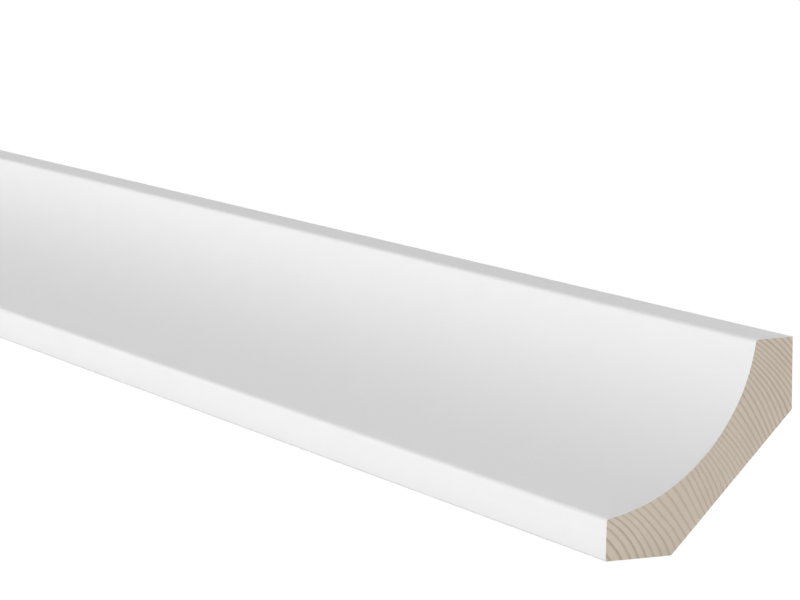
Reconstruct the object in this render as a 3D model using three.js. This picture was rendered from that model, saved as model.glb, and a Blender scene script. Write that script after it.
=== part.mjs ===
// A length of cove moulding: one strip of pine, machined with a hollow face between two narrow flats
// and a bevelled back, painted white on the hollow and the flats, and cut square at both ends.
// Millimetres, +Z up. X runs along the moulding, +Y points into the wall that it is fixed to, and
// the hollow looks up and out from the wall. The origin is the middle of the face that meets the wall.

import * as THREE from 'three';

// Driving dimensions
const LENGTH = 500;
const LEG = 40; // reach out from the wall, and height along it
const FLAT = 8; // width of the flats on either side of the hollow
const LIP_FALL = 0.2; // how far a flat falls back by the time it reaches the hollow
const BED = 14; // width of the wall face and of the bedding face
const HOLLOW_RADIUS = 38;

// Arrises are eased so that the paint holds on them
const LIP_EASE = 0.8; // where a flat meets the hollow
const OUTER_EASE = 0.2; // where a flat meets the wall face or the bedding face
const BACK_EASE = 0.5; // where the bevelled back meets those faces

// Straight steps that stand for each arc
const HALF_HOLLOW_STEPS = 16;
const EASE_STEPS = 6;

const PAINT = { color: 0xf1f1ef, roughness: 0.5, metalness: 0 };

// The section is drawn with Vector2's x out from the wall plane and y up from the wall face's middle.
const TOP = BED / 2;
const BOTTOM = TOP - LEG;

// The section is the same on both sides of the diagonal through the corner of wall and bed.
function mirrored(point) {
  return new THREE.Vector2(BOTTOM - point.y, BOTTOM - point.x);
}

const wallTop = new THREE.Vector2(0, TOP);
const wallFoot = new THREE.Vector2(0, TOP - BED);
const backFoot = mirrored(wallFoot);
const upperLip = new THREE.Vector2(-FLAT, TOP - LIP_FALL);
const lowerLip = mirrored(upperLip);

// The hollow is an arc through both lips, with its centre out in front, square to the line between them.
function findHollowCentre() {
  const halfChord = lowerLip.distanceTo(upperLip) / 2;
  const standOff = Math.sqrt(HOLLOW_RADIUS ** 2 - halfChord ** 2);
  const outward = new THREE.Vector2(-1, 1).setLength(standOff);
  return lowerLip.clone().lerp(upperLip, 0.5).add(outward);
}

// Points of an arc from one point to another around a centre, ends included.
function arcPoints(centre, from, to, steps, clockwise = false) {
  const start = from.clone().sub(centre);
  const end = to.clone().sub(centre);
  const radius = start.length();
  const arc = new THREE.EllipseCurve(
    centre.x, centre.y, radius, radius, start.angle(), end.angle(), clockwise,
  );
  return arc.getPoints(steps);
}

// A corner between two straight edges, eased by an arc that touches both.
function easedCorner(before, corner, after, radius) {
  const back = before.clone().sub(corner).normalize();
  const onward = after.clone().sub(corner).normalize();
  const halfAngle = Math.acos(back.dot(onward)) / 2;
  const reach = radius / Math.tan(halfAngle);
  const centre = back.clone().add(onward).setLength(radius / Math.sin(halfAngle)).add(corner);
  const from = back.multiplyScalar(reach).add(corner);
  const to = onward.multiplyScalar(reach).add(corner);
  return arcPoints(centre, from, to, EASE_STEPS);
}

// The top flat's lip and half of the hollow. The arc that eases the lip touches the flat and the
// hollow, so its centre lies one ease radius under the flat and one beyond the hollow's own radius.
function lipAndHalfHollow() {
  const hollowCentre = findHollowCentre();
  const span = HOLLOW_RADIUS + LIP_EASE;
  const along = upperLip.clone().sub(wallTop).normalize();
  const inward = new THREE.Vector2(-along.y, along.x).multiplyScalar(LIP_EASE);
  const start = wallTop.clone().add(inward);
  const apart = start.clone().sub(hollowCentre);
  const nearing = -along.dot(apart);
  const run = nearing - Math.sqrt(nearing ** 2 - apart.lengthSq() + span ** 2);
  const easeCentre = along.multiplyScalar(run).add(start);
  const onFlat = easeCentre.clone().sub(inward);
  const onHollow = hollowCentre.clone().lerp(easeCentre, HOLLOW_RADIUS / span);
  const deepest = new THREE.Vector2(1, -1).setLength(HOLLOW_RADIUS).add(hollowCentre);
  return [
    ...arcPoints(easeCentre, onFlat, onHollow, EASE_STEPS),
    ...arcPoints(hollowCentre, onHollow, deepest, HALF_HOLLOW_STEPS, true).slice(1),
  ];
}

// The closed section, anticlockwise: up the wall face, over the top flat and down the hollow to its
// deepest point, then the same again mirrored, back to the foot of the bevelled back.
function sectionShape() {
  const upperHalf = [
    ...easedCorner(backFoot, wallFoot, wallTop, BACK_EASE),
    ...easedCorner(wallFoot, wallTop, upperLip, OUTER_EASE),
    ...lipAndHalfHollow(),
  ];
  const lowerHalf = upperHalf.slice(0, -1).map(mirrored).reverse();
  return new THREE.Shape([...upperHalf, ...lowerHalf]);
}

function makeMoulding() {
  const strip = new THREE.ExtrudeGeometry(sectionShape(), { depth: LENGTH, bevelEnabled: false });
  const moulding = new THREE.Mesh(strip, new THREE.MeshStandardMaterial(PAINT));
  moulding.name = 'cove_moulding';
  // The section lies in XY and is drawn out along Z, so it is turned to lie in YZ and run along X.
  moulding.rotation.set(0, Math.PI / 2, Math.PI / 2);
  moulding.position.x = -LENGTH / 2;
  return moulding;
}

const part = new THREE.Group();
part.add(makeMoulding());

export default part;
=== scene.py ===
import math

import bpy
import numpy as np
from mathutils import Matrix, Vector


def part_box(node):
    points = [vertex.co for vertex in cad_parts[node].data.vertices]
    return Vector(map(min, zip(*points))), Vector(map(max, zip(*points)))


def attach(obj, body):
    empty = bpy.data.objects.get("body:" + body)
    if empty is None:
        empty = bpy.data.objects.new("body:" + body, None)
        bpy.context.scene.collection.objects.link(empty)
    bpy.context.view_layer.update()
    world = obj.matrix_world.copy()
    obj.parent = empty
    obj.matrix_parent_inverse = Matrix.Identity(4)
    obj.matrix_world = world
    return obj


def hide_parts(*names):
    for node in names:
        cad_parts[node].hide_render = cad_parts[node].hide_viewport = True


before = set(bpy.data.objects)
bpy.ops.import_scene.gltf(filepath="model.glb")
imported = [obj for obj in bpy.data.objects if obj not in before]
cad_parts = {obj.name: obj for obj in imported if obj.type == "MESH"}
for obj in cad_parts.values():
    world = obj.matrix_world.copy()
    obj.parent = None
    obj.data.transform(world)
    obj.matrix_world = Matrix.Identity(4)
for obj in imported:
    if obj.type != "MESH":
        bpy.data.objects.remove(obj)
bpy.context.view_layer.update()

# The strip: one length of slow-grown pine, run through a four-sided planer that cuts a hollow between
# two flats and bevels the back, sanded, and sprayed white on its face side. Both ends are cut square
# by a fine saw and left bare, and it is fixed to the wall by its upright back face.

MM = 0.001
lowest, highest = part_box("cove_moulding")
HALF_LENGTH = (highest.x - lowest.x) / 2 / MM
LEG = 40.0
FLAT = 8.0
BED = 14.0
HOLLOW_RADIUS = 38.0
TOP = BED / 2
BOTTOM = TOP - LEG

# Each flat falls back a little by the time it reaches the hollow.
LIP_FALL = 0.2

# Arrises are eased most at the lips of the hollow and least where the flats meet wall and bed.
LIP_EASE = 0.8
OUTER_EASE = 0.2
BACK_EASE = 0.5

# Directions that the flat faces look in, in degrees from the wall towards the top
WALL, BEVEL = 0.0, -45.0
UP = 90 + math.degrees(math.atan2(LIP_FALL, FLAT))


def arc(centre, radius, first, last, steps=24):
    """Points on a circle, in even steps from one angle to another: centre + radius (cos, sin)."""
    turn = np.radians(np.linspace(first, last, steps + 1))
    return np.asarray(centre) + radius * np.column_stack((np.cos(turn), np.sin(turn)))


def ease_centre(corner, before, after, radius):
    """Centre of the arc that touches both faces of a corner. With the faces' outward directions as unit
    vectors a and b, it is the corner less radius (a + b) / (1 + a.b)."""
    a, b = (np.array((math.cos(t), math.sin(t))) for t in np.radians((before, after)))
    return np.asarray(corner) - radius * (a + b) / (1 + a @ b)


def mirrored(line):
    """A line of (y, z) points reflected in the diagonal of the section, run the other way round: each
    point becomes (bottom - z, bottom - y)."""
    return BOTTOM - line[::-1, ::-1]


# The hollow's centre stands out in front, square to the middle of the line between the two lips.
lip = np.array((-FLAT, TOP - LIP_FALL))
lower_lip = mirrored(lip[None])[0]
half_chord = np.linalg.norm(lip - lower_lip) / 2
stand_off = math.sqrt((HOLLOW_RADIUS**2 - half_chord**2) / 2)
hollow_centre = (lip + lower_lip) / 2 + stand_off * np.array((-1, 1))

# A lip's ease touches the flat and the hollow: its centre is found by going along a line one ease radius
# under the flat until the hollow's centre is the hollow's radius and one ease radius away.
crown = np.array((0, TOP))
along_flat = (lip - crown) / np.linalg.norm(lip - crown)
under_flat = crown + LIP_EASE * np.array((-along_flat[1], along_flat[0]))
apart = under_flat - hollow_centre
nearing = -along_flat @ apart
lip_run = nearing - math.sqrt(nearing**2 - apart @ apart + (HOLLOW_RADIUS + LIP_EASE) ** 2)
lip_centre = under_flat + lip_run * along_flat
lip_end = math.degrees(math.atan2(*(hollow_centre - lip_centre)[::-1]))
lip_middle = (UP + lip_end) / 2
crown_centre = ease_centre(crown, WALL, UP, OUTER_EASE)
crown_middle = (WALL + UP) / 2
nape_centre = ease_centre((0, TOP - BED), BEVEL, WALL, BACK_EASE)

# Half of each side of the section, from the diagonal to the middle of the eased arris that ends it
half_back = np.vstack((
    arc(nape_centre, BACK_EASE, BEVEL, WALL),
    arc(crown_centre, OUTER_EASE, WALL, crown_middle),
))
half_hollow = np.vstack((
    arc(hollow_centre, HOLLOW_RADIUS, BEVEL, lip_end - 180, steps=300),
    arc(lip_centre, LIP_EASE, lip_end, lip_middle)[1:],
))
top_flat = np.vstack((
    arc(lip_centre, LIP_EASE, lip_middle, UP),
    arc(crown_centre, OUTER_EASE, UP, crown_middle),
))

CELLS_ALONG = 240  # from the front foot to the wall's top
CELLS_ACROSS = 40  # from the hollow to the back
EASE_SHARE = 1.3  # millimetres of length that a radian of turning counts for


def spread(line, cells):
    """A line of points cut again into cells that are equal in length plus a share of turning, so that
    the eased arrises get more cells than their length alone would give them."""
    step = np.diff(line, axis=0)
    heading = np.unwrap(np.arctan2(step[:, 1], step[:, 0]))
    turn = np.abs(np.diff(heading, prepend=heading[0]))
    measure = np.concatenate(([0.0], np.cumsum(np.hypot(*step.T) + EASE_SHARE * turn)))
    wanted = np.linspace(0, measure[-1], cells + 1)
    return np.column_stack([np.interp(wanted, measure, line[:, k]) for k in (0, 1)])


# Each side as a row of points: hollow and back from the foot to the top, flats from hollow to back.
hollow_row = spread(np.vstack((mirrored(half_hollow)[:-1], half_hollow)), CELLS_ALONG)
back_row = spread(np.vstack((mirrored(half_back), half_back)), CELLS_ALONG)
top_row = spread(top_flat, CELLS_ACROSS)
front_row = mirrored(top_row)[::-1]

# The outline runs up the back, over the top flat, down the hollow and down the front flat.
outline = np.vstack((back_row[:-1], top_row[:0:-1], hollow_row[:0:-1], front_row[:-1]))
CELLS_ROUND = len(outline)


def across_the_end():
    """Points all over the end, as the patch between its four sides: the mix of hollow and back by v,
    plus the mix of front and top flat by u, less the mix of the four corners by both."""
    u = np.linspace(0, 1, CELLS_ALONG + 1)[:, None, None]
    v = np.linspace(0, 1, CELLS_ACROSS + 1)[None, :, None]
    by_v = (1 - v) * hollow_row[:, None] + v * back_row[:, None]
    by_u = (1 - u) * front_row[None] + u * top_row[None]
    foot = (1 - v) * front_row[0] + v * front_row[-1]
    head = (1 - v) * top_row[0] + v * top_row[-1]
    return by_v + by_u - (1 - u) * foot - u * head


# Growth rings. The tree's heart lay below and in front of the strip, so the rings cross the section
# slantwise, bowed most at the foot, and bunched by turns towards the hollow and towards the back.
RING_SLOPE, RING_BOW = 0.044, 0.0137
FOOT_BOW, FOOT_REACH = 0.0415, 4.7
BUNCHING, BUNCH_LENGTH, BUNCH_START = 0.092, 19.5, 31.7
MIDDLE, RINGS_AT_MIDDLE = 30.0, 20.31  # millimetres from the front foot, and rings counted there
RINGS_PER_MM = 0.882
TIGHTENING = 0.0049  # rings per square millimetre, as growth slows with age
GOOD_YEARS, YEARS_SWING, YEARS_START = 19.5, 0.668, 28.94  # runs of good and bad years, in millimetres
LONG_YEARS, LONG_SWING, LONG_START = 33.85, 0.552, 29.94
TAPER = 5.0  # millimetres that the rings shift over the length, because a trunk tapers
WANDER, WANDER_LENGTH = 0.7, 310.0  # slow wave of the grain along the trunk


def ring_count(x, y, z):
    """Growth rings between the front foot and a point. With s the distance from the foot along the
    section's diagonal and w that across it, a ring's line is s + (slope - bunching cos(s)) w plus
    (bow + foot bow e^(-s / reach)) w^2, plus a drift along the length. The count is a parabola of that
    line plus two sines for good and bad years."""
    from_right_end = HALF_LENGTH - x
    drift = TAPER * from_right_end / (2 * HALF_LENGTH)
    drift = drift + WANDER * np.sin(2 * np.pi * from_right_end / WANDER_LENGTH)
    s = (y + LEG + z - BOTTOM) / math.sqrt(2)
    w = (y + LEG - z + BOTTOM) / math.sqrt(2)
    slope = RING_SLOPE - BUNCHING * np.cos(2 * np.pi * (s - BUNCH_START) / BUNCH_LENGTH)
    bow = RING_BOW + FOOT_BOW * np.exp(-s / FOOT_REACH)
    line = s + slope * w + bow * w**2 + drift
    years = YEARS_SWING * np.sin(2 * np.pi * (line - YEARS_START) / GOOD_YEARS)
    years = years + LONG_SWING * np.sin(2 * np.pi * (line - LONG_START) / LONG_YEARS)
    line = line - MIDDLE
    return RINGS_AT_MIDDLE + RINGS_PER_MM * line + TIGHTENING * line**2 + years


# Relief, all cut inwards: soft earlywood is torn a little below the hard latewood on a sawn end, and
# shrinks below it on the planed and painted faces.
SAWN_RELIEF = 0.02
PLANED_RELIEF = 0.004
PAINTED_RELIEF = 0.0015
SAW_RADIUS, SAW_PITCH, SAW_RELIEF = 150.0, 1.15, 0.006
SAW_CENTRE = np.array((-95.0, 118.0))


def hollowed(rings):
    """How far earlywood lies below latewood, from 0 on a latewood line to 1 half a ring away."""
    return 0.5 - 0.5 * np.cos(2 * np.pi * rings)


def sawn_depth(x, y, z):
    """Depth of the sawn end below its plane: earlywood hollows plus the saw's arcs, which are a sine of
    the distance from the saw's axle."""
    from_axle = np.hypot(y - SAW_CENTRE[0], z - SAW_CENTRE[1]) - SAW_RADIUS
    arcs = 0.5 + 0.5 * np.sin(2 * np.pi * from_axle / SAW_PITCH)
    return SAWN_RELIEF * hollowed(ring_count(x, y, z)) + SAW_RELIEF * arcs


STATIONS = 100  # steps along the length, crowded towards the ends as a sine crowds them
station_x = HALF_LENGTH * np.sin(np.linspace(-np.pi / 2, np.pi / 2, STATIONS + 1))
outline_step = np.roll(outline, -1, 0) - np.roll(outline, 1, 0)
outward = np.column_stack((outline_step[:, 1], -outline_step[:, 0]))
outward /= np.linalg.norm(outward, axis=1, keepdims=True)
bare = np.arange(CELLS_ROUND) <= CELLS_ALONG
rings_round = ring_count(station_x[:, None], outline[None, :, 0], outline[None, :, 1])
sunk = np.where(bare, PLANED_RELIEF, PAINTED_RELIEF) * hollowed(rings_round)
skin = np.empty((STATIONS + 1, CELLS_ROUND, 3))
skin[..., 0] = station_x[:, None]
skin[..., 1:] = outline[None] - sunk[..., None] * outward[None]
for end in (0, -1):
    depth = sawn_depth(station_x[end], outline[:, 0], outline[:, 1])
    skin[end, :, 0] -= np.sign(station_x[end]) * depth
    skin[end, :, 1:] = outline

end_grid = across_the_end()
inner = end_grid[1:-1, 1:-1].reshape(-1, 2)
inner_count = len(inner)
end_faces = []
for side in (-1, 1):
    depth = sawn_depth(side * HALF_LENGTH, inner[:, 0], inner[:, 1])
    end_faces.append(np.column_stack((side * (HALF_LENGTH - depth), inner)))
points = np.vstack((skin.reshape(-1, 3), *end_faces))


def skin_quads():
    """Corner numbers of the quads round the strip, one row of them between each two stations."""
    near = np.arange(STATIONS)[:, None] * CELLS_ROUND
    here = np.arange(CELLS_ROUND)[None]
    after = (here + 1) % CELLS_ROUND
    far = near + CELLS_ROUND
    return np.stack((near + here, near + after, far + after, far + here), -1).reshape(-1, 4)


def end_quads(station, first_inner, facing):
    """Corner numbers of the quads of an end: its rim is the skin's ring at that station, and its inner
    points follow from first_inner."""
    along, across = np.arange(CELLS_ALONG + 1), np.arange(CELLS_ACROSS + 1)
    number = np.empty((CELLS_ALONG + 1, CELLS_ACROSS + 1), int)
    number[1:-1, 1:-1] = first_inner + np.arange(inner_count).reshape(CELLS_ALONG - 1, -1)
    number[:, -1] = along
    number[-1, :] = CELLS_ALONG + CELLS_ACROSS - across
    number[:, 0] = 2 * CELLS_ALONG + CELLS_ACROSS - along
    number[0, :] = (2 * CELLS_ALONG + CELLS_ACROSS + across) % CELLS_ROUND
    rim = np.ones(number.shape, bool)
    rim[1:-1, 1:-1] = False
    number[rim] += station * CELLS_ROUND
    quads = np.stack((number[:-1, :-1], number[:-1, 1:], number[1:, 1:], number[1:, :-1]), -1)
    return quads.reshape(-1, 4)[:, ::facing]


quads = np.vstack((
    skin_quads(),
    end_quads(0, len(points) - 2 * inner_count, -1),
    end_quads(STATIONS, len(points) - inner_count, 1),
))

SHARP_BEND = 40.0  # degrees between two faces, above which the edge between them is shaded sharp
mesh = bpy.data.meshes.new("painted_pine_strip")
mesh.from_pydata((points * MM).tolist(), [], quads.tolist())
mesh.shade_smooth()
mesh.set_sharp_from_angle(angle=math.radians(SHARP_BEND))
strip = bpy.data.objects.new("painted_pine_strip", mesh)
bpy.context.scene.collection.objects.link(strip)

# The paint stops as a feathered edge just past the outer arrises, where the spray reached round them. Along
# the bottom arris the cover is lowered and the paint drawn darker as a thin grey line: painted shade at the
# foot.
SPRAY_REACH = 1.6
ARRIS_SHADE_REACH, ARRIS_SHADE_LOWEST = 0.2, 0.5  # millimetres, and the lowest cover on the arris, which sets how dark the painted shade line is
reach = np.minimum(outline[:, 0] + LEG, TOP - outline[:, 1])
round_cover_and_shade = np.where(bare, np.clip(1 - reach / SPRAY_REACH, 0, 1), 1.0)
from_foot = np.hypot(*(outline - outline[0]).T)
round_cover_and_shade *= 1 - (1 - ARRIS_SHADE_LOWEST) * np.exp(-((from_foot / ARRIS_SHADE_REACH) ** 2))
paint_cover_and_arris_shade = np.concatenate((np.tile(round_cover_and_shade, STATIONS + 1), np.zeros(2 * inner_count)))
for name, values in (("ring_count", ring_count(*points.T)), ("paint_cover_and_arris_shade", paint_cover_and_arris_shade)):
    layer = mesh.attributes.new(name, "FLOAT", "POINT")
    layer.data.foreach_set("value", values.astype(np.float32))


# Every face also has its place on one flat sheet: each end laid along its diagonal, then a band for the
# bare back and a narrower one for the painted face, all four running the sheet's full width.
SHEET_EDGE = 0.01
END_FOOT = (0.01, 0.30)
BARE_BAND = (0.59, 0.85)
PAINT_BAND = (0.87, 0.99)
sheet_per_mm = (1 - 2 * SHEET_EDGE) / (math.sqrt(2) * LEG)
walk = np.hypot(*np.diff(outline, axis=0, append=outline[:1]).T)
walk = np.concatenate(([0.0], np.cumsum(walk)))
bare_v = np.interp(walk, walk[[0, CELLS_ALONG]], BARE_BAND)
paint_v = np.interp(walk, walk[[CELLS_ALONG, -1]], PAINT_BAND)
on_back = np.arange(CELLS_ROUND) < CELLS_ALONG
skin_u = SHEET_EDGE + (0.5 - SHEET_EDGE) * (station_x / HALF_LENGTH + 1)
skin_uv = np.empty((STATIONS, CELLS_ROUND, 4, 2))
skin_uv[..., :2, 0] = skin_u[:-1, None, None]
skin_uv[..., 2:, 0] = skin_u[1:, None, None]
skin_uv[..., [0, 3], 1] = np.where(on_back, bare_v[:-1], paint_v[:-1])[:, None]
skin_uv[..., [1, 2], 1] = np.where(on_back, bare_v[1:], paint_v[1:])[:, None]
end_corners = points[quads[STATIONS * CELLS_ROUND:]].reshape(2, -1, 4, 3)
forward, rise = end_corners[..., 1] + LEG, end_corners[..., 2] - BOTTOM
end_u = SHEET_EDGE + sheet_per_mm * (forward + rise) / math.sqrt(2)
end_v = sheet_per_mm * (forward - rise + FLAT) / math.sqrt(2) + np.reshape(END_FOOT, (2, 1, 1))
sheet = np.vstack((skin_uv.reshape(-1, 2), np.stack((end_u, end_v), -1).reshape(-1, 2)))
mesh.uv_layers.new(name="OFBake").data.foreach_set("uv", sheet.astype(np.float32).ravel())


def linear(colour):
    """An sRGB hex colour as linear red, green, blue and alpha: ((c + 0.055) / 1.055) ** 2.4, but c / 12.92
    in the darkest part."""
    parts = np.array([int(colour[k:k + 2], 16) for k in (1, 3, 5)]) / 255
    parts = np.where(parts <= 0.04045, parts / 12.92, ((parts + 0.055) / 1.055) ** 2.4)
    return (*parts.tolist(), 1.0)


def add_node(tree, kind, inputs=(), **settings):
    """Adds a node with its settings, and gives each named input a value or a link from a socket."""
    new = tree.nodes.new("ShaderNode" + kind)
    for name, value in settings.items():
        setattr(new, name, value)
    for key, value in dict(inputs).items():
        if isinstance(value, bpy.types.NodeSocket):
            tree.links.new(value, new.inputs[key])
        else:
            new.inputs[key].default_value = value
    return new


PAINT_WHITE = linear("#ededed")
GRAIN_STRETCH = 0.03  # the grain's unevenness is about thirty times as long as it is wide
SLOW_WIDTH, SLOW_SWAY = 6.0, 0.3  # millimetres, and rings that a line is pushed by
QUICK_WIDTH, QUICK_SWAY = 1.1, 0.16
LINE_SHIFT = 0.25  # of a year, which brings the dark lines onto the whole counts
DARKENING = (0.1, 0.52)  # shares of a year between which the wood darkens
PALING = (0.72, 0.54)  # shares between which it turns pale again, the later one first
FIRST_POWER, LAST_POWER, LAST_RING = 2.2, 1.0, 30  # powers at the first ring and from the last one on


def add_growth_rings(tree, faintest):
    """Adds the nodes that shade wood by its rings, and returns that shade and the ring count. The count,
    pushed to and fro by a slow and a quick noise, is cut into years. Within a year the wood darkens
    slowly and turns pale again abruptly, so the shade is a slow rise to a power, times a steep fall,
    times a strength drawn for the year, from the faintest to 1. The power is lower in later, narrower
    rings, whose dark part takes up more of the year."""
    place = add_node(tree, "TexCoord").outputs["Object"]
    grain = add_node(tree, "Mapping", {"Vector": place, "Scale": (GRAIN_STRETCH, 1, 1)}).outputs[0]
    slow = add_node(tree, "TexNoise", {"Vector": grain, "Scale": 1 / (SLOW_WIDTH * MM),
                                       "Detail": 1}).outputs[0]
    quick = add_node(tree, "TexNoise", {"Vector": grain, "Scale": 1 / (QUICK_WIDTH * MM),
                                        "Detail": 2}).outputs[0]
    count = add_node(tree, "Attribute", attribute_name="ring_count").outputs["Fac"]
    swayed = add_node(tree, "Math", {0: slow, 1: SLOW_SWAY, 2: count}, operation="MULTIPLY_ADD").outputs[0]
    rippled = add_node(tree, "Math", {0: quick, 1: QUICK_SWAY, 2: swayed},
                       operation="MULTIPLY_ADD").outputs[0]
    centred = add_node(tree, "Math", {0: rippled, 1: LINE_SHIFT}, operation="ADD").outputs[0]
    year = add_node(tree, "Math", {0: centred}, operation="FLOOR").outputs[0]
    season = add_node(tree, "Math", {0: centred}, operation="FRACT").outputs[0]
    rise = add_node(tree, "MapRange", {"Value": season, "From Min": DARKENING[0], "From Max": DARKENING[1]},
                    interpolation_type="SMOOTHSTEP").outputs[0]
    power = add_node(tree, "MapRange", {"Value": count, "From Min": 0, "From Max": LAST_RING,
                                        "To Min": FIRST_POWER, "To Max": LAST_POWER}).outputs[0]
    rise = add_node(tree, "Math", {0: rise, 1: power}, operation="POWER").outputs[0]
    fall = add_node(tree, "MapRange", {"Value": season, "From Min": PALING[0], "From Max": PALING[1]},
                    interpolation_type="SMOOTHSTEP").outputs[0]
    line = add_node(tree, "Math", {0: rise, 1: fall}, operation="MULTIPLY").outputs[0]
    drawn = add_node(tree, "TexWhiteNoise", {"W": year}, noise_dimensions="1D").outputs["Value"]
    strength = add_node(tree, "MapRange", {"Value": drawn, "To Min": faintest}).outputs[0]
    shade = add_node(tree, "Math", {0: line, 1: strength}, operation="MULTIPLY").outputs[0]
    return shade, count


# Acrylic paint, sprayed on and dried in an oven: neutral white, satin, with a faint orange peel, and the
# hard lines of the grain barely standing through it.
PEEL_SIZE, PEEL_DEPTH = 1.4, 0.006
PEEL_RANGE = (0.3, 0.7)  # what most of the peel's noise lies between
CLOUD_SIZE, CLOUD_TONE, LOWEST_TONE = 24.0, 0.012, 0.994
LINE_TONE, LINE_HEIGHT = -0.004, 0.25  # what a ring's dark line adds to tone and height
# tone of the painted shade line along the bottom arris, where the cover is lowest
ARRIS_SHADE_TONE = 0.75
SATIN = (0.40, 0.46)  # roughness in the hollows and on the tops of the peel
paint = bpy.data.materials.new("sprayed_white_acrylic_paint")
paint.use_nodes = True
tree = paint.node_tree
coat = tree.nodes["Principled BSDF"]
shade, count = add_growth_rings(tree, faintest=0.7)
place = add_node(tree, "TexCoord").outputs["Object"]
peel = add_node(tree, "TexNoise", {"Vector": place, "Scale": 1 / (PEEL_SIZE * MM), "Detail": 1}).outputs[0]
cloud = add_node(tree, "TexNoise", {"Vector": place, "Scale": 1 / (CLOUD_SIZE * MM), "Detail": 2}).outputs[0]
tone = add_node(tree, "Math", {0: cloud, 1: CLOUD_TONE, 2: LOWEST_TONE},
                operation="MULTIPLY_ADD").outputs[0]
tone = add_node(tree, "Math", {0: shade, 1: LINE_TONE, 2: tone}, operation="MULTIPLY_ADD").outputs[0]
# On the bottom arris the lowered cover darkens the white: a painted shade line along the strip's foot.
cover_and_shade = add_node(tree, "Attribute", attribute_name="paint_cover_and_arris_shade").outputs["Fac"]
arris_shade = add_node(tree, "MapRange", {"Value": cover_and_shade, "From Min": ARRIS_SHADE_LOWEST,
                                       "To Min": ARRIS_SHADE_TONE}).outputs[0]
tone = add_node(tree, "Math", {0: tone, 1: arris_shade}, operation="MULTIPLY").outputs[0]
white = add_node(tree, "VectorMath", {0: PAINT_WHITE[:3], "Scale": tone}, operation="SCALE").outputs[0]
satin = add_node(tree, "MapRange", {"Value": peel, "From Min": PEEL_RANGE[0], "From Max": PEEL_RANGE[1],
                                    "To Min": SATIN[0], "To Max": SATIN[1]}).outputs[0]
height = add_node(tree, "Math", {0: shade, 1: LINE_HEIGHT, 2: peel}, operation="MULTIPLY_ADD").outputs[0]
skin_bump = add_node(tree, "Bump", {"Height": height, "Distance": PEEL_DEPTH * MM}).outputs[0]
tree.links.new(white, coat.inputs["Base Color"])
tree.links.new(satin, coat.inputs["Roughness"])
tree.links.new(skin_bump, coat.inputs["Normal"])

# Planed pine, left bare where the strip meets wall and bed and on the bevelled back: pale, with the rings
# as fine lines along it, faint knife ripples across it, and paint feathered over its two outer edges.
PLANED_EARLYWOOD = linear("#e0d2bc")
PLANED_LATEWOOD = linear("#b99d7b")
KNIFE_PITCH, KNIFE_HEIGHT = 1.6, 0.15  # millimetres, and height against that of the fibres
FIBRE_WIDTH, FIBRE_TONE, FIBRE_DEPTH = 0.4, 0.10, 0.02
STREAK_WIDTH, STREAK_TONE, DARKEST_STREAK = 7.0, 0.5, 0.70
MERGING, MERGED_SHADE = (22, 36), 0.3  # rings, and the share of their lines' shade that is left
SPRAY_RAGGED, SPRAY_EDGE = 0.8, (0.5, 1.1)  # what fibres add to the cover, and sums that it fades in between
PLANED_ROUGH = (0.62, 0.5)  # roughness of earlywood and of latewood
planed = bpy.data.materials.new("planed_pine")
planed.use_nodes = True
tree = planed.node_tree
wood = tree.nodes["Principled BSDF"]
shade, count = add_growth_rings(tree, faintest=0.0)
# The narrow later rings run together into an even tone.
merging = add_node(tree, "MapRange", {"Value": count, "From Min": MERGING[0], "From Max": MERGING[1],
                                      "To Min": 1.0, "To Max": MERGED_SHADE}).outputs[0]
shade = add_node(tree, "Math", {0: shade, 1: merging}, operation="MULTIPLY").outputs[0]
place = add_node(tree, "TexCoord").outputs["Object"]
grain = add_node(tree, "Mapping", {"Vector": place, "Scale": (GRAIN_STRETCH, 1, 1)}).outputs[0]
# Fibres are some 0.04 mm wide, and are drawn ten times as coarse so that they show.
fibre = add_node(tree, "TexNoise", {"Vector": grain, "Scale": 1 / (FIBRE_WIDTH * MM), "Detail": 3}).outputs[0]
streak = add_node(tree, "TexNoise", {"Vector": grain, "Scale": 1 / (STREAK_WIDTH * MM),
                                     "Detail": 2}).outputs[0]
colour = add_node(tree, "Mix", {0: shade, 6: PLANED_EARLYWOOD, 7: PLANED_LATEWOOD},
                  data_type="RGBA").outputs[2]
tone = add_node(tree, "Math", {0: streak, 1: STREAK_TONE, 2: DARKEST_STREAK},
                operation="MULTIPLY_ADD").outputs[0]
tone = add_node(tree, "Math", {0: fibre, 1: FIBRE_TONE, 2: tone}, operation="MULTIPLY_ADD").outputs[0]
colour = add_node(tree, "VectorMath", {0: colour, "Scale": tone}, operation="SCALE").outputs[0]
cover_and_shade = add_node(tree, "Attribute", attribute_name="paint_cover_and_arris_shade").outputs["Fac"]
ragged = add_node(tree, "Math", {0: fibre, 1: SPRAY_RAGGED, 2: cover_and_shade}, operation="MULTIPLY_ADD").outputs[0]
spray = add_node(tree, "MapRange", {"Value": ragged, "From Min": SPRAY_EDGE[0],
                                    "From Max": SPRAY_EDGE[1]}).outputs[0]
colour = add_node(tree, "Mix", {0: spray, 6: colour, 7: PAINT_WHITE}, data_type="RGBA").outputs[2]
rough = add_node(tree, "MapRange", {"Value": shade, "To Min": PLANED_ROUGH[0],
                                    "To Max": PLANED_ROUGH[1]}).outputs[0]
along = add_node(tree, "SeparateXYZ", {0: place}).outputs["X"]
per_ripple = 2 * math.pi / (KNIFE_PITCH * MM)
turn = add_node(tree, "Math", {0: along, 1: per_ripple}, operation="MULTIPLY").outputs[0]
ripple = add_node(tree, "Math", {0: turn}, operation="SINE").outputs[0]
height = add_node(tree, "Math", {0: ripple, 1: KNIFE_HEIGHT, 2: fibre}, operation="MULTIPLY_ADD").outputs[0]
wood_bump = add_node(tree, "Bump", {"Height": height, "Distance": FIBRE_DEPTH * MM}).outputs[0]
tree.links.new(colour, wood.inputs["Base Color"])
tree.links.new(rough, wood.inputs["Roughness"])
tree.links.new(wood_bump, wood.inputs["Normal"])

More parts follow.
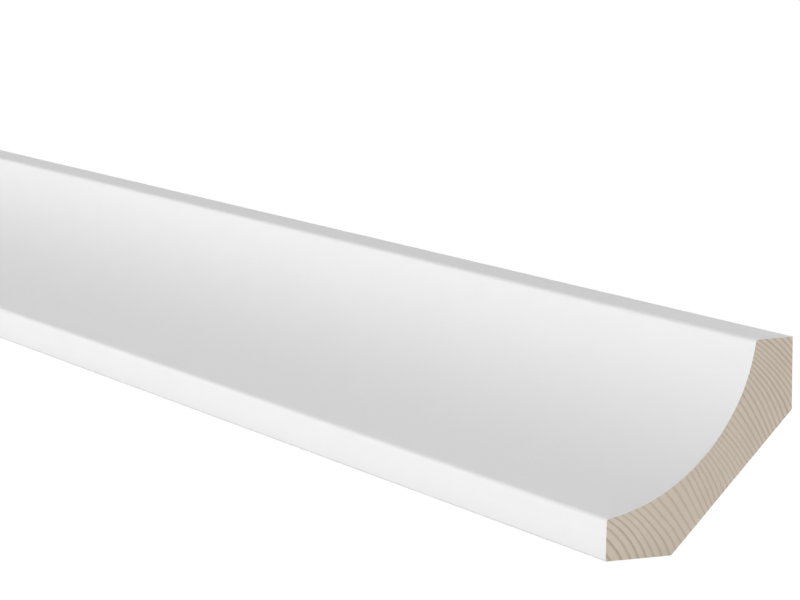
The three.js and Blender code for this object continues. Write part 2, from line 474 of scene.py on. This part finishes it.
# Sawn pine end grain: dull beige and rough, with the dark lines of the rings across it, stippled by torn
# fibres, and a thread of white where the saw went through the paint film.
SAWN_EARLYWOOD = linear("#d1c5b6")
SAWN_LATEWOOD = linear("#aea190")
MOTTLE_SIZE, MOTTLE_TONE = 5.0, 0.08
STIPPLE_SIZE, STIPPLE_TONE, STIPPLE_DEPTH = 0.4, 0.10, 0.03
RAY_WIDTH, RAY_STRETCH, RAY_TONE = 0.45, 16, 0.06
EARLY_RINGS, EARLY_SHADE = (-1, 8), (1.1, 0.6)  # rings, and the strength of their lines
LATE_RINGS, LATE_SHADE = (22, 38), (0.0, 0.25)  # rings, and what is added to that strength
FOOT_RING, WEB_RING = 2, 16
FOOT_TONE, WEB_TONE = 0.90, 0.825  # the end is drawn a little paler at the front foot and darker higher up
FILM_RAGGED, FILM_EDGE = 0.3, (0.7, 0.9)  # what stipple adds to the cover, and sums that it fades in between
RIDGE_HEIGHT = 0.5  # of a ring's dark line, against that of the stipple
SAWN_ROUGH = (0.9, 0.75)  # roughness of earlywood and of latewood
SAWN_SHEEN = 0.25  # half that of a smooth surface
sawn = bpy.data.materials.new("sawn_pine_end_grain")
sawn.use_nodes = True
tree = sawn.node_tree
wood = tree.nodes["Principled BSDF"]
shade, count = add_growth_rings(tree, faintest=0.7)
place = add_node(tree, "TexCoord").outputs["Object"]
# The earliest rings, at the front foot, are the darkest, and the middle ones the faintest.
early_years = add_node(tree, "MapRange", {"Value": count,
                                          "From Min": EARLY_RINGS[0], "From Max": EARLY_RINGS[1],
                                          "To Min": EARLY_SHADE[0], "To Max": EARLY_SHADE[1]}).outputs[0]
late_years = add_node(tree, "MapRange", {"Value": count,
                                         "From Min": LATE_RINGS[0], "From Max": LATE_RINGS[1],
                                         "To Min": LATE_SHADE[0], "To Max": LATE_SHADE[1]}).outputs[0]
years = add_node(tree, "Math", {0: early_years, 1: late_years}, operation="ADD").outputs[0]
shade = add_node(tree, "Math", {0: shade, 1: years}, operation="MULTIPLY").outputs[0]
colour = add_node(tree, "Mix", {0: shade, 6: SAWN_EARLYWOOD, 7: SAWN_LATEWOOD},
                  data_type="RGBA", clamp_factor=False).outputs[2]
mottle = add_node(tree, "TexNoise", {"Vector": place, "Scale": 1 / (MOTTLE_SIZE * MM),
                                     "Detail": 2}).outputs[0]
stipple = add_node(tree, "TexNoise", {"Vector": place, "Scale": 1 / (STIPPLE_SIZE * MM),
                                      "Detail": 2}).outputs[0]
# Rays run square to the rings, near enough along the diagonal; 0.03 mm wide, they are drawn coarser.
raywise = add_node(tree, "Mapping", {"Vector": place, "Rotation": (math.pi / 4, 0, 0),
                                     "Scale": (1, RAY_STRETCH, 1)}, vector_type="TEXTURE").outputs[0]
ray = add_node(tree, "TexNoise", {"Vector": raywise, "Scale": 1 / (RAY_WIDTH * MM), "Detail": 1}).outputs[0]
paler = add_node(tree, "MapRange", {"Value": count, "From Min": FOOT_RING, "From Max": WEB_RING,
                                    "To Min": FOOT_TONE, "To Max": WEB_TONE}).outputs[0]
tone = add_node(tree, "Math", {0: mottle, 1: MOTTLE_TONE, 2: paler}, operation="MULTIPLY_ADD").outputs[0]
tone = add_node(tree, "Math", {0: stipple, 1: STIPPLE_TONE, 2: tone}, operation="MULTIPLY_ADD").outputs[0]
tone = add_node(tree, "Math", {0: ray, 1: RAY_TONE, 2: tone}, operation="MULTIPLY_ADD").outputs[0]
colour = add_node(tree, "VectorMath", {0: colour, "Scale": tone}, operation="SCALE").outputs[0]
cover_and_shade = add_node(tree, "Attribute", attribute_name="paint_cover_and_arris_shade").outputs["Fac"]
ragged = add_node(tree, "Math", {0: stipple, 1: FILM_RAGGED, 2: cover_and_shade}, operation="MULTIPLY_ADD").outputs[0]
film = add_node(tree, "MapRange", {"Value": ragged, "From Min": FILM_EDGE[0],
                                   "From Max": FILM_EDGE[1]}).outputs[0]
colour = add_node(tree, "Mix", {0: film, 6: colour, 7: PAINT_WHITE}, data_type="RGBA").outputs[2]
rough = add_node(tree, "MapRange", {"Value": shade, "To Min": SAWN_ROUGH[0],
                                    "To Max": SAWN_ROUGH[1]}).outputs[0]
height = add_node(tree, "Math", {0: shade, 1: RIDGE_HEIGHT, 2: stipple}, operation="MULTIPLY_ADD").outputs[0]
wood_bump = add_node(tree, "Bump", {"Height": height, "Distance": STIPPLE_DEPTH * MM}).outputs[0]
wood.inputs["Specular IOR Level"].default_value = SAWN_SHEEN
tree.links.new(colour, wood.inputs["Base Color"])
tree.links.new(rough, wood.inputs["Roughness"])
tree.links.new(wood_bump, wood.inputs["Normal"])

PAINTED, PLANED, SAWN = range(3)
for material in (paint, planed, sawn):
    mesh.materials.append(material)
slots = np.full(len(quads), SAWN)
slots[:STATIONS * CELLS_ROUND] = np.tile(np.where(on_back, PLANED, PAINTED), STATIONS)
mesh.polygons.foreach_set("material_index", slots.astype(np.int32))

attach(strip, "root")
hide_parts("cove_moulding")

# The floor: a wide sweep of white paper, lit so evenly that it shows no tone, and curved up far behind. Its
# white is a glow of its own, because lights on pale paper would overexpose it and eat into the strip's
# outline. A dimmer sheet just under it stands for the light that it throws back, so that the foot of the
# strip still darkens towards the floor.
SWEEP_FLAT, SWEEP_CURVE = 20.0, 12.0
SWEEP_SIDES, SWEEP_STEPS = 48, 12
UNDER_GAP = 0.05 * MM
PAPER_ROUGH, PAPER_SHEEN = 0.9, 0.1
round_sweep = np.linspace(0, 2 * np.pi, SWEEP_SIDES + 1)[:-1]
climb = np.linspace(0, np.pi / 2, SWEEP_STEPS + 1)
sweep_radius = SWEEP_FLAT + SWEEP_CURVE * np.sin(climb)
sweep_height = SWEEP_CURVE * (1 - np.cos(climb))
sweep_points = np.stack((
    sweep_radius[:, None] * np.cos(round_sweep),
    sweep_radius[:, None] * np.sin(round_sweep),
    np.broadcast_to(sweep_height[:, None] + lowest.z, (len(sweep_radius), len(round_sweep))),
), -1).reshape(-1, 3)
inside = np.arange(len(sweep_radius) - 1)[:, None] * len(round_sweep)
here = np.arange(len(round_sweep))[None]
beside = (here + 1) % len(round_sweep)
outside = inside + len(round_sweep)
sweep_quads = np.stack((inside + here, outside + here, outside + beside, inside + beside), -1).reshape(-1, 4)
floor_mesh = bpy.data.meshes.new("floor")
floor_mesh.from_pydata(sweep_points.tolist(), [], [here[0].tolist(), *sweep_quads.tolist()])
floor_mesh.shade_smooth()
floor = bpy.data.objects.new("floor", floor_mesh)

under_mesh = bpy.data.meshes.new("under_sheet")
under_corners = SWEEP_FLAT * np.array(((-1, -1, 0), (1, -1, 0), (1, 1, 0), (-1, 1, 0)))
under_corners = under_corners + np.array((0, 0, lowest.z - UNDER_GAP))
under_mesh.from_pydata(under_corners.tolist(), [], [(0, 1, 2, 3)])
under_sheet = bpy.data.objects.new("under_sheet", under_mesh)

for sheet_object, name, colour, glow in (
    (floor, "evenly_lit_white_paper", "#1c1c1c", 1.0),
    (under_sheet, "matt_grey_paper", "#cbcbcb", 0.08),
):
    bpy.context.scene.collection.objects.link(sheet_object)
    paper = bpy.data.materials.new(name)
    paper.use_nodes = True
    sheet_shader = paper.node_tree.nodes["Principled BSDF"]
    sheet_shader.inputs["Base Color"].default_value = linear(colour)
    sheet_shader.inputs["Roughness"].default_value = PAPER_ROUGH
    sheet_shader.inputs["Specular IOR Level"].default_value = PAPER_SHEEN
    sheet_shader.inputs["Emission Color"].default_value = (1, 1, 1, 1)
    sheet_shader.inputs["Emission Strength"].default_value = glow
    sheet_object.data.materials.append(paper)
floor.visible_diffuse = False
floor.visible_glossy = False
floor.visible_transmission = False
floor.visible_shadow = False
under_sheet.visible_camera = False

# The light: a dim room that is brightest round the horizon, a broad soft light low in front, a smaller
# one high behind on the left for the top flat, and two wide ones low and far off, for the sawn end and
# for the back.
HORIZON, OVERHEAD = 0.57, 0.05
HORIZON_BAND = math.sin(math.radians(25))  # how high the brighter part reaches
LIT_SPOT = Vector((0.1, -0.02, -0.015))
world = bpy.data.worlds.new("dim_room")
bpy.context.scene.world = world
world.use_nodes = True
tree = world.node_tree
look = add_node(tree, "TexCoord").outputs["Generated"]
rise = add_node(tree, "SeparateXYZ", {0: look}).outputs["Z"]
glow = add_node(tree, "MapRange", {"Value": rise, "From Min": 0.0, "From Max": HORIZON_BAND,
                                   "To Min": HORIZON, "To Max": OVERHEAD}).outputs[0]
tree.links.new(glow, tree.nodes["Background"].inputs["Strength"])
tree.nodes["Background"].inputs["Color"].default_value = (1, 1, 1, 1)


def hang_soft_light(name, turn, height, distance, size, watts, glare):
    """A soft light aimed at the strip, by its turn from the front towards the right end, its height and
    its distance: it stands in the direction (sin t cos h, -cos t cos h, sin h). Without glare, it lights
    the strip but isn't mirrored in its paint."""
    turn, height = math.radians(turn), math.radians(height)
    level = math.cos(height)
    towards = Vector((math.sin(turn) * level, -math.cos(turn) * level, math.sin(height)))
    data = bpy.data.lights.new(name, "AREA")
    data.shape = "RECTANGLE"
    data.size, data.size_y = size
    data.energy = watts
    light = bpy.data.objects.new(name, data)
    light.location = LIT_SPOT + distance * towards
    light.rotation_euler = towards.to_track_quat("Z", "Y").to_euler()
    light.visible_camera = False
    light.visible_glossy = glare
    bpy.context.scene.collection.objects.link(light)


hang_soft_light("front_light", turn=-8, height=10, distance=2.5, size=(1.4, 0.8), watts=44.2, glare=False)
hang_soft_light("rear_light", turn=215, height=50, distance=1.8, size=(1.0, 1.0), watts=23.0, glare=True)
hang_soft_light("end_light", turn=80, height=5, distance=6.0, size=(3.0, 0.8), watts=208.0, glare=False)
hang_soft_light("back_light", turn=225, height=3, distance=6.0, size=(3.0, 0.5), watts=60.0, glare=False)

# The camera stands off to the right and a little above, and looks along the strip at its sawn end.
CAMERA_PLACE = (0.85203, -0.36925, 0.10381)  # metres
LOOK_DOWN, LOOK_LEFT = 7.294, 64.523  # degrees below level, and from straight ahead
FOCAL_LENGTH, SENSOR_WIDTH = 168.487, 36.0  # millimetres
camera_data = bpy.data.cameras.new("camera")
camera = bpy.data.objects.new("camera", camera_data)
camera_data.lens = FOCAL_LENGTH
camera_data.sensor_width = SENSOR_WIDTH
camera.location = CAMERA_PLACE
camera.rotation_euler = (math.radians(90 - LOOK_DOWN), 0, math.radians(LOOK_LEFT))
bpy.context.scene.collection.objects.link(camera)
bpy.context.scene.camera = camera
bpy.context.scene.view_settings.view_transform = "Standard"
